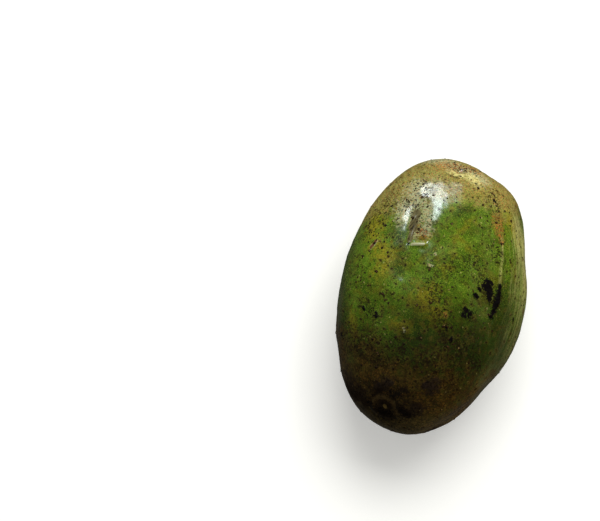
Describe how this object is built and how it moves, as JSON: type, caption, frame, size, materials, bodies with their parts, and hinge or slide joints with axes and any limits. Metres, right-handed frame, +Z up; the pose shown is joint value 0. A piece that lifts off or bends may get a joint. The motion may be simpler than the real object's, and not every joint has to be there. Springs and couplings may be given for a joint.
{
  "type": "june plum",
  "caption": "Whole oval tropical fruit with mottled green and brown skin, lying on its side on a small flat spot.",
  "frame": {"origin": "on the surface that the fruit rests on, under the middle of its bounding box", "axes": "+Y along the fruit from its stem scar end to its blossom tip, +Z up out of the surface it rests on"},
  "size_m": [0.0506, 0.0758, 0.0474],
  "materials": {
    "skin": "waxy green peel with russet and dark flecks"
  },
  "bodies": {
    "root": {"fruit": "skin"}
  },
  "joints": []
}
